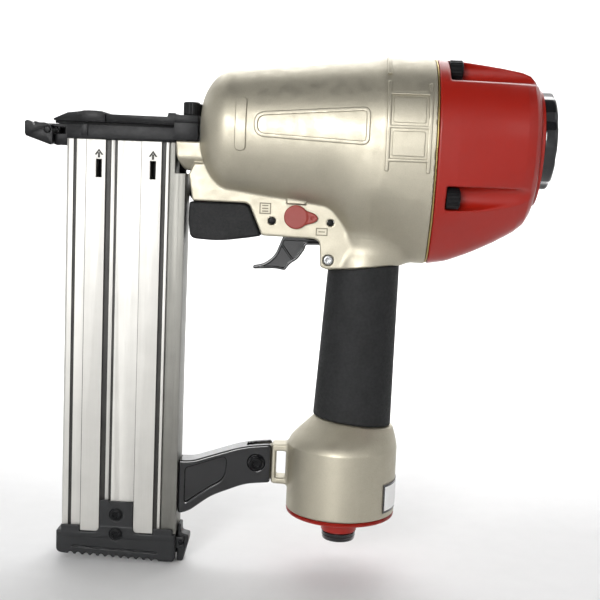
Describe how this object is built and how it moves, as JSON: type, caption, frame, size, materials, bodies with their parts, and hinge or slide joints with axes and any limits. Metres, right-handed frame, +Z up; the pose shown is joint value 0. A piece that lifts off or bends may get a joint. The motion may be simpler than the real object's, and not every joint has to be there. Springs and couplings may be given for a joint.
{
  "type": "pneumatic nail gun",
  "caption": "Hand-held pneumatic nail gun with a round cylinder head, rubber grip, sliding straight magazine and a contact foot at the muzzle.",
  "frame": {"origin": "centre of the flat muzzle face at the front end of the driver guide, 3 mm below the drive axis", "axes": "nails leave along -X, +Z is up away from the grip and magazine, and Y = 0 is the tool's middle plane"},
  "size_m": [0.3365, 0.099, 0.3399],
  "materials": {
    "champagne_paint": "satin metallic spray paint on a magnesium casting",
    "red_paint": "gloss red paint on an aluminium casting",
    "red_plastic": "matt moulded",
    "aluminium": "natural anodised, drawn along its length",
    "steel": "ground and zinc plated",
    "black_steel": "black oxide",
    "black_plastic": "satin moulded nylon",
    "rubber": "matt moulded",
    "brass": "plain"
  },
  "bodies": {
    "tool_body": {"body_housing": "champagne_paint", "cap_gasket": "brass", "cylinder_cap": "red_paint", "cap_bolt_1": "black_steel", "cap_bolt_2": "black_steel", "cap_bolt_3": "black_steel", "cap_bolt_4": "black_steel", "exhaust_screw": "steel", "cylinder_sleeve": "aluminium", "cylinder_collar": "aluminium", "bumper": "rubber", "head_valve_spring": "steel", "grip_sleeve": "rubber", "end_plate": "red_paint", "inlet_plug": "black_plastic", "trigger_valve_body": "brass", "trigger_spring": "steel", "roll_pin_front": "black_steel", "roll_pin_rear": "black_steel", "housing_screw": "steel", "front_guard": "rubber", "driver_guide": "black_steel", "nose_cover": "black_steel", "nose_bolt_1": "black_steel", "nose_bolt_2": "black_steel", "contact_spring": "steel", "magazine_rail": "aluminium", "magazine_bracket": "black_plastic", "bracket_bolt": "black_steel", "bracket_nut": "steel"},
    "exhaust": {"exhaust_cap": "black_plastic"},
    "head_valve": {"head_valve": "black_plastic"},
    "piston": {"piston": "aluminium", "piston_seal": "rubber", "driver_blade": "steel"},
    "trigger": {"trigger": "black_plastic"},
    "selector": {"selector_lever": "red_plastic", "selector_shaft": "steel", "shaft_clip": "steel"},
    "valve_stem": {"trigger_valve_stem": "steel"},
    "contact": {"contact_foot": "black_steel", "contact_arm": "black_steel", "contact_pin": "black_steel"},
    "magazine_slide": {"magazine_cover": "aluminium", "tail_cap": "black_plastic", "tail_screw_1": "black_steel", "tail_screw_2": "black_steel", "latch_pin": "black_steel", "latch_spring": "steel", "pusher_spring": "steel"},
    "latch": {"magazine_latch": "black_plastic"},
    "pusher": {"nail_pusher": "black_steel"}
  },
  "joints": [
    {"name": "piston_stroke", "type": "slide", "parent": "tool_body", "child": "piston", "axis": [-1, 0, 0], "range_m": [0, 0.086]},
    {"name": "head_valve_lift", "type": "slide", "parent": "tool_body", "child": "head_valve", "axis": [1, 0, 0], "range_m": [0, 0.005], "stiffness_N_per_m": 1200, "springref_m": -0.008, "deforming": ["head_valve_spring"]},
    {"name": "exhaust_turn", "type": "hinge", "parent": "tool_body", "child": "exhaust", "pos_m": [0.32, 0, 0.003], "axis": [1, 0, 0], "continuous": true},
    {"name": "trigger_pull", "type": "hinge", "parent": "tool_body", "child": "trigger", "pos_m": [0.1664, 0, -0.0517], "axis": [0, -1, 0], "range_deg": [0, 12], "stiffness_Nm_per_rad": 0.5, "springref_deg": -17.19},
    {"name": "valve_stem_lift", "type": "slide", "parent": "tool_body", "child": "valve_stem", "axis": [0, 0, 1], "range_m": [0, 0.0035], "deforming": ["trigger_spring"]},
    {"name": "selector_turn", "type": "hinge", "parent": "tool_body", "child": "selector", "pos_m": [0.1664, 0, -0.0517], "axis": [0, 1, 0], "range_deg": [0, 180]},
    {"name": "contact_press", "type": "slide", "parent": "tool_body", "child": "contact", "axis": [1, 0, 0], "range_m": [0, 0.008], "stiffness_N_per_m": 900, "springref_m": -0.012, "deforming": ["contact_spring"]},
    {"name": "magazine_open", "type": "slide", "parent": "tool_body", "child": "magazine_slide", "axis": [0, 0, -1], "range_m": [0, 0.15]},
    {"name": "latch_squeeze", "type": "hinge", "parent": "magazine_slide", "child": "latch", "pos_m": [0.0975, 0, -0.274], "axis": [0, 1, 0], "range_deg": [0, 8], "stiffness_Nm_per_rad": 0.06, "springref_deg": -17.19},
    {"name": "pusher_travel", "type": "slide", "parent": "magazine_slide", "child": "pusher", "axis": [0, 0, -1], "range_m": [0, 0.19], "stiffness_N_per_m": 25, "springref_m": -0.25, "deforming": ["pusher_spring"]}
  ],
  "couplings": [
    {"joint": "valve_stem_lift", "follows": "trigger_pull", "m_per_rad": 0.0165}
  ]
}
